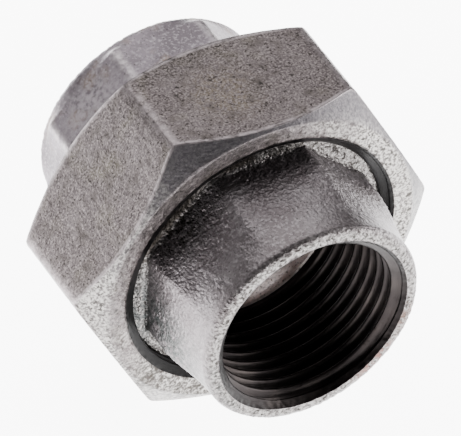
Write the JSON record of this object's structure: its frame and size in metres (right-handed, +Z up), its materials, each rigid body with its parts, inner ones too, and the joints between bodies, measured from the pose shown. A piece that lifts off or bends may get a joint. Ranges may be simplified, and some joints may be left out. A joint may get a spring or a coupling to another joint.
{
  "type": "pipe union",
  "caption": "Threaded pipe union: two octagonal end pieces with internal pipe threads, drawn together on a ring gasket by a hexagonal nut.",
  "frame": {"origin": "on the waterway's axis, midway between the two mouths", "axes": "+Y along the waterway from the threaded end's mouth to the tail end's mouth, +Z up, square to the nut's top flat"},
  "size_m": [0.0642, 0.055, 0.056],
  "materials": {
    "galvanised_casting": "galvanised, as cast",
    "galvanised_nut": "galvanised, weathered",
    "fibre_gasket": "matt"
  },
  "bodies": {
    "front": {"threaded_end": "galvanised_casting"},
    "seal": {"seal_gasket": "fibre_gasket"},
    "tail": {"tail_end": "galvanised_casting"},
    "nut": {"union_nut": "galvanised_nut"}
  },
  "joints": [
    {"name": "seal_travel", "type": "slide", "parent": "front", "child": "seal", "axis": [0, 1, 0], "range_m": [0, 0.0128]},
    {"name": "tail_swivel", "type": "hinge", "parent": "seal", "child": "tail", "pos_m": [0, 0.0061, 0], "axis": [0, 1, 0], "continuous": true},
    {"name": "nut_turn", "type": "hinge", "parent": "seal", "child": "nut", "pos_m": [0, 0, 0], "axis": [0, 1, 0], "range_deg": [0, 1980]}
  ],
  "couplings": [
    {"joint": "seal_travel", "follows": "nut_turn", "m_per_rad": 0.00036749}
  ]
}
